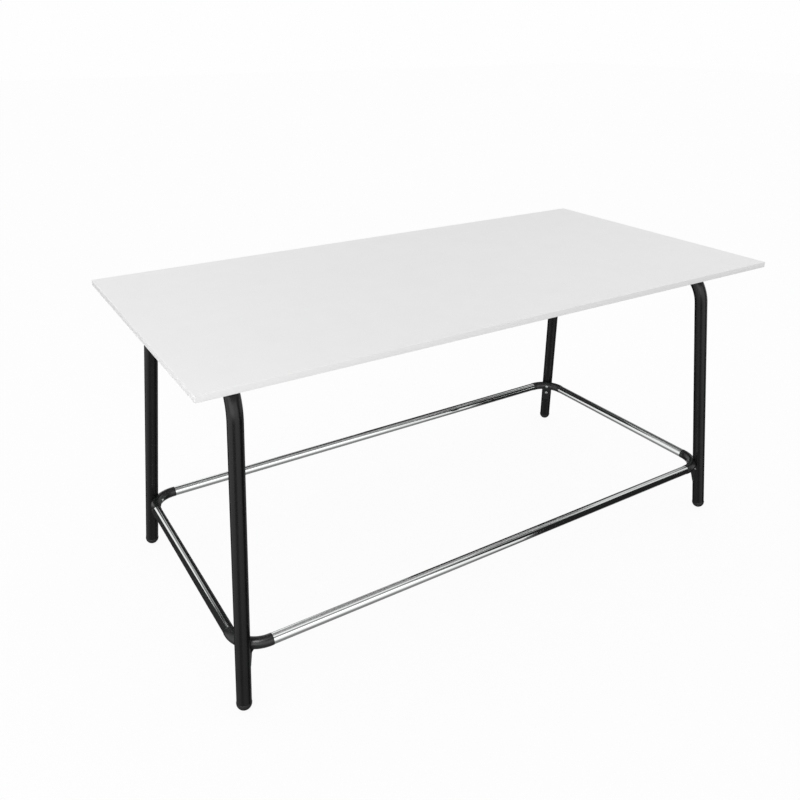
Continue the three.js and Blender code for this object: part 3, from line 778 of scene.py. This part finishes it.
def makePanScrew(screwSizes, length):      # points up, with the bearing face of its head at z = 0
    diameter = screwSizes["diameterMm"] * mm
    headDiameter = screwSizes["headDiameterMm"] * mm
    headHeight = screwSizes["headHeightMm"] * mm
    clearSelection()
    bpy.ops.mesh.primitive_circle_add(vertices=panHead["sides"], radius=headDiameter / 2, fill_type="NGON")
    screw = startShape()
    fallen, wide = 0, 1
    for fall, share in panHead["section"]:
        pullOut((0, 0, -fall * headHeight))
        fallen += fall
        bpy.ops.transform.resize(value=(share / wide, share / wide, 1),
                                 center_override=(0, 0, -fallen * headHeight))
        wide = share
    joinSeams()
    pick("FACE", lambda face: face.normal.z > mostly and abs(face.calc_center_median().z) < onFace)
    bpy.ops.mesh.inset(thickness=(headDiameter - diameter) / 2, depth=0)
    pullOut((0, 0, length - diameter / 2))
    pullOut((0, 0, diameter / 2))
    point = panHead["pointTaper"]
    bpy.ops.transform.resize(value=(point, point, 1), center_override=(0, 0, length))
    closeUp()
    mouth, bottom = -panHead["slotFrom"] * headHeight, -panHead["slotTo"] * headHeight
    taper = panHead["slotTaper"]
    for turn in (0, math.pi / 2):      # the two slots of the cross, narrower at the bottom
        clearSelection()
        bpy.ops.mesh.primitive_cube_add(size=1, location=(0, 0, (mouth + bottom) / 2), rotation=(0, 0, turn),
                                        scale=(headDiameter * panHead["slotLength"],
                                               headDiameter * panHead["slotWidth"], bottom - mouth))
        slot = startShape()
        pick("FACE", lambda face: face.normal.z > mostly)
        bpy.ops.transform.resize(value=(taper, taper, 1), center_override=(0, 0, bottom))
        bpy.ops.object.mode_set(mode="OBJECT")
        joinOrCut(screw, slot, "DIFFERENCE")
    return screw


for place, (seat, drop) in screwPlaces.items():
    length = seat - (tubeRadius - legTube["wallMm"] * mm) + connectorScrew["gripMm"] * mm
    screw = makePanScrew(connectorScrew, length)
    seated = (onLeg(railHeight) @ Matrix.Translation((seat, 0, -drop))
              @ Matrix.Rotation(-math.pi / 2, 4, "Y"))
    for name in corners:
        node = name + "_" + place + "_screw"
        finishPiece(copyTo(screw, atCorner(name) @ seated), node.replace("_", "-"), node,
                    zincPlate)
    bpy.data.objects.remove(screw, do_unlink=True)

topScrewPlaces = {}
screw = makePanScrew(topScrew, topScrew["lengthMm"] * mm)
for node in sorted(n for n in frame["nodes"] if n.startswith("top_screw_")):
    low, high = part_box(node)
    middle = (low + high) / 2
    topScrewPlaces[node] = Vector((middle.x, middle.y, low.z + topScrew["headHeightMm"] * mm))
    finishPiece(copyTo(screw, Matrix.Translation(topScrewPlaces[node])), node.replace("_", "-"), node,
                zincPlate)
bpy.data.objects.remove(screw, do_unlink=True)
print("screws turned:", len(corners) * len(screwPlaces) + len(topScrewPlaces))


# under the top: plates on the crossbars and folded channels between the frames

mountingPlate = {"edgeMm": 0.6, "edgeSteps": 2, "sharpDegrees": 60, "endSteps": 20, "holeClearanceMm": 0.4,
                 "endShare": 0.499}      # the ends' rounding as a share of the width, just short of meeting
weldBead = {"diameterMm": 5.4, "fromAxisMm": 11, "shortByMm": 5, "ripples": 14, "rippleShare": 0.88,
            "sides": 14}
channel = {"wallMm": 2, "bendMm": 4, "bendSteps": 6}


def drillForScrews(piece, low, high):
    radius = (topScrew["diameterMm"] / 2 + mountingPlate["holeClearanceMm"]) * mm
    reach = Vector((0, 0, 2 * (high.z - low.z)))
    for place in topScrewPlaces.values():
        if low.x < place.x < high.x and low.y < place.y < high.y:
            joinOrCut(piece, drillRod(radius, place - reach, place + reach), "DIFFERENCE")


def makeWeldBead(place, length):      # runs along the crossbar, in the corner under the plate
    start = place - Vector((0, length / 2, 0))
    step = Vector((0, length / weldBead["ripples"], 0))
    clearSelection()
    bpy.ops.mesh.primitive_circle_add(vertices=weldBead["sides"], radius=weldBead["diameterMm"] / 2 * mm,
                                      location=start, rotation=(math.pi / 2, 0, 0), fill_type="NGON")
    bead = startShape()
    for ripple in range(weldBead["ripples"]):      # thinner and thicker by turns
        pullOut(step)
        share = weldBead["rippleShare"] if ripple % 2 == 0 else 1 / weldBead["rippleShare"]
        bpy.ops.transform.resize(value=(share, 1, share), center_override=start + step * (ripple + 1))
    closeUp()
    return bead


def makeMountingPlate(node):
    low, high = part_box(node)
    middle = (low + high) / 2
    clearSelection()
    bpy.ops.mesh.primitive_cube_add(size=1, location=middle, scale=high - low)
    plate = startShape()
    pick("EDGE", lambda edge: abs(edgeRun(edge).z) > mostly)
    bpy.ops.mesh.bevel(offset=(high.y - low.y) * mountingPlate["endShare"],
                       segments=mountingPlate["endSteps"], affect="EDGES")
    closeUp()
    useModifier(plate, "BEVEL", width=mountingPlate["edgeMm"] * mm, segments=mountingPlate["edgeSteps"],
                limit_method="ANGLE", angle_limit=math.radians(mountingPlate["sharpDegrees"]))
    drillForScrews(plate, low, high)
    fromAxis = weldBead["fromAxisMm"] * mm
    axisHeight = low.z - seatGap - tubeRadius
    axisX = math.copysign(legFloor.x - splaySlope * axisHeight, middle.x)
    tubeSide = axisHeight + math.sqrt(tubeRadius ** 2 - fromAxis ** 2)
    for side in (-1, 1):      # a bead on each side of the crossbar
        place = Vector((axisX + side * fromAxis, middle.y, (tubeSide + low.z) / 2))
        joinOrCut(plate, makeWeldBead(place, high.y - low.y - weldBead["shortByMm"] * mm), "UNION")
    words = node.split("_")
    finishPiece(plate, "-".join(words[2:]) + "-mountingPlate", node, blackCoat)


def makeChannel(node):
    low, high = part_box(node)
    middle = (low + high) / 2
    clearSelection()
    bpy.ops.mesh.primitive_plane_add(size=1, location=(middle.x, middle.y, high.z))
    bpy.context.object.scale = (high.x - low.x, high.y - low.y, 1)
    folded = startShape()
    pick("EDGE", lambda edge: abs(edgeRun(edge).x) > mostly)
    pullOut((0, 0, low.z - high.z))
    pick("EDGE", lambda edge: abs(edgeRun(edge).x) > mostly and edge.verts[0].co.z > high.z - nearby)
    bpy.ops.mesh.bevel(offset=channel["bendMm"] * mm, segments=channel["bendSteps"], affect="EDGES")
    closeUp()
    useModifier(folded, "SOLIDIFY", thickness=channel["wallMm"] * mm, offset=-1)
    drillForScrews(folded, low, high)
    finishPiece(folded, node.split("_")[1] + "Stiffener", node, blackCoat)


for node in sorted(n for n in frame["nodes"] if n.startswith("mounting_plate_")):
    makeMountingPlate(node)
for node in ("stiffener_front", "stiffener_back"):
    makeChannel(node)
print("plates welded and channels folded")


# stage: a pale floor, even soft light, and boards and windows that only mirror-like surfaces see

stage = {"floorMetres": 60, "floorColour": "#e6e6e6", "floorShows": 0.93, "white": 0.99, "skyLevel": 0.95,
         "lowTone": 0.24, "lowFrom": -0.60, "lowTo": -0.20, "boardMetres": 120, "boardGapMetres": 0.2,
         "boardSteps": 12}


def seenRays(tree):      # 1 on rays that are seen, straight, mirrored or through glass, then on mirrored ones
    ray = addNode(tree, "ShaderNodeLightPath", {})
    seen = addNode(tree, "ShaderNodeMath",
                   {0: ray.outputs["Is Camera Ray"], 1: ray.outputs["Is Transmission Ray"]},
                   operation="MAXIMUM")
    seen = addNode(tree, "ShaderNodeMath", {0: seen.outputs[0], 1: ray.outputs["Is Glossy Ray"]},
                   operation="MAXIMUM")
    return seen.outputs[0], ray.outputs["Is Glossy Ray"]


def makeFloor():      # white to the eye, with the table's shadow on it
    finish, tree = emptyFinish("pale_floor")
    seen = seenRays(tree)[0]
    share = addNode(tree, "ShaderNodeMath", {0: seen, 1: stage["floorShows"]}, operation="MULTIPLY")
    matt = addNode(tree, "ShaderNodeBsdfDiffuse", {"Color": linearColour(stage["floorColour"])})
    white = addNode(tree, "ShaderNodeEmission", {"Color": (1, 1, 1, 1), "Strength": 1.0})
    both = addNode(tree, "ShaderNodeMixShader",
                   {0: share.outputs[0], 1: matt.outputs[0], 2: white.outputs[0]})
    addNode(tree, "ShaderNodeOutputMaterial", {"Surface": both.outputs[0]})
    clearSelection()
    bpy.ops.mesh.primitive_plane_add(size=stage["floorMetres"])
    floor = bpy.context.object
    floor.name = "floor"
    floor.data.materials.append(finish)
    floor.visible_glossy = False      # the chrome looks past it to the boards and the grey below


def makeWorld():      # white all round, and grey below for mirror-like surfaces
    world = bpy.data.worlds.new("studio")
    scene.world = world
    world.use_nodes = True
    tree = world.node_tree
    tree.nodes.clear()
    seen, mirrored = seenRays(tree)
    direction = addNode(tree, "ShaderNodeTexCoord", {})
    height = addNode(tree, "ShaderNodeSeparateXYZ", {"Vector": direction.outputs["Generated"]})
    lower = addNode(tree, "ShaderNodeMapRange",
                    {"Value": height.outputs["Z"], "From Min": stage["lowFrom"], "From Max": stage["lowTo"],
                     "To Min": stage["lowTone"], "To Max": stage["white"]})
    shown = addNode(tree, "ShaderNodeMix", {0: mirrored, 2: stage["white"], 3: lower.outputs[0]})
    level = addNode(tree, "ShaderNodeMix", {0: seen, 2: stage["skyLevel"], 3: shown.outputs[0]})
    sky = addNode(tree, "ShaderNodeBackground", {"Color": (1, 1, 1, 1), "Strength": level.outputs[0]})
    addNode(tree, "ShaderNodeOutputWorld", {"Surface": sky.outputs[0]})


# each board: its tone, then rows of height, from and to azimuth, in degrees (0 behind the table, 90 to the
# right)
boards = {"overheadEdge": (0.42, (39, -18, 16), (40.2, -18, 16)),
          "overheadDim": (0.2, (40.2, -18, 16), (42, -18, 16)),
          "leftBack": (0.026, (-45, -38, -27), (-25, -44, -27), (-10, -47, -26), (0, -48.5, -25.5),
                       (8, -50.5, -25), (16, -52, -25.5), (26, -52, -26), (36, -48.5, -22),
                       (39.4, -46, -17.5)),
          "overhead": (0.022, (39.4, -46, 46), (45, -40.5, 46), (48, -37.5, 46), (51, -31, 44),
                       (52, -30, 12)),
          "rightBack": (0.015, (-12, 25, 46), (15, 25, 46), (30, 22.5, 46), (34, 21.5, 46), (39.4, 18.5, 46)),
          "backGrey": (0.38, (-12, 19, 25), (28, 17, 23), (34, 13, 22), (39.4, 9, 19)),
          "backDim": (0.62, (28, -8, 17), (39, -8, 9)),
          "backWindow": (1.2, (-3, -22, 14), (27, -22, 14)),
          "backLow": (0.03, (-42, -27, 46), (-4, -27, 46)),
          "rightFront": (0.015, (-55, 98, 126), (-42, 98, 130.5), (-30, 98, 140.3), (-18, 98, 144.6),
                         (-12, 98, 145.4), (-11.9, 119, 145.4), (-7, 119, 145.6), (4, 119, 146),
                         (16, 119, 148), (28, 119, 149), (31, 121.5, 149), (38, 119.5, 148.5),
                         (43, 116, 144.5)),
          "slant": (0.08, (43, 116, 144.5), (48, 109.5, 140), (53, 104, 124), (58, 100, 112)),
          "rightEdge": (0.28, (-40, 46, 60), (36, 46, 60)),
          "right": (0.25, (-40, 60, 98), (-12, 60, 98)),
          "rightHigh": (0.75, (-12, 60, 120), (28, 60, 128), (36, 56, 126), (51, 56, 121)),
          "highBackEdge": (0.13, (36, 46, 56), (51, 46, 56)),
          "highBack": (0.13, (51, -32, 98), (80, -32, 98)),
          "frontHigh": (0.29, (37, 121, 200), (58, 121, 200)),
          "leftFront": (0.2, (-45, 205, 240), (0, 205, 240)),
          "leftWindow": (2.2, (3, 205, 262), (32, 205, 262)),
          "frontWindow": (1.5, (5, 152, 205), (32, 152, 205)),
          "lamp": (10.0, (52, 204, 236), (76, 204, 236))}


def makeBoard(name, tone, rows, distance):
    finish, tree = emptyFinish("board_" + name)
    glow = addNode(tree, "ShaderNodeEmission", {"Color": (1, 1, 1, 1), "Strength": tone})
    addNode(tree, "ShaderNodeOutputMaterial", {"Surface": glow.outputs[0]})
    steps = stage["boardSteps"]
    points, faces = [], []
    for row, (height, fromAzimuth, toAzimuth) in enumerate(rows):
        height = math.radians(height)
        for i in range(steps + 1):
            azimuth = math.radians(fromAzimuth + (toAzimuth - fromAzimuth) * i / steps)
            points.append(distance * Vector((math.sin(azimuth) * math.cos(height),
                                             math.cos(azimuth) * math.cos(height), math.sin(height))))
            if row > 0 and i > 0:
                corner = len(points) - 1
                faces.append((corner, corner - 1, corner - steps - 2, corner - steps - 1))
    mesh = bpy.data.meshes.new("board-" + name)
    mesh.from_pydata(points, [], faces)
    board = bpy.data.objects.new("board-" + name, mesh)
    scene.collection.objects.link(board)
    board.data.materials.append(finish)
    board.visible_camera = board.visible_diffuse = board.visible_shadow = board.visible_transmission = False


makeFloor()
makeWorld()
for step, (name, (tone, *rows)) in enumerate(boards.items()):      # each a little further off than the last
    makeBoard(name, tone, rows, stage["boardMetres"] + stage["boardGapMetres"] * step)

# a weak softbox overhead, a soft fill from the front left, and a low one from the left that lifts the top's
# left edge
lamps = {"softbox": {"place": (0.5, 0.1, 3.0), "aim": (0.5, 0.1, 1.0), "size": 2.0, "watts": 3.6},
         "fill": {"place": (-2.1, -1.4, 1.5), "aim": (-1.0, -0.5, 1.05), "size": 1.0, "watts": 5},
         "leftFill": {"place": (-3.4, -0.5, 0.55), "aim": (-1.0, -0.2, 1.0), "size": 1.0, "watts": 12}}
for name, lamp in lamps.items():
    light = bpy.data.objects.new(name, bpy.data.lights.new(name, "AREA"))
    scene.collection.objects.link(light)
    light.data.shape = "SQUARE"
    light.data.size = lamp["size"]
    light.data.energy = lamp["watts"]
    light.location = lamp["place"]
    light.rotation_euler = (Vector(lamp["aim"]) - Vector(lamp["place"])).to_track_quat("-Z", "Y").to_euler()
    light.visible_glossy = False
print("stage lit")

bpy.context.view_layer.update()
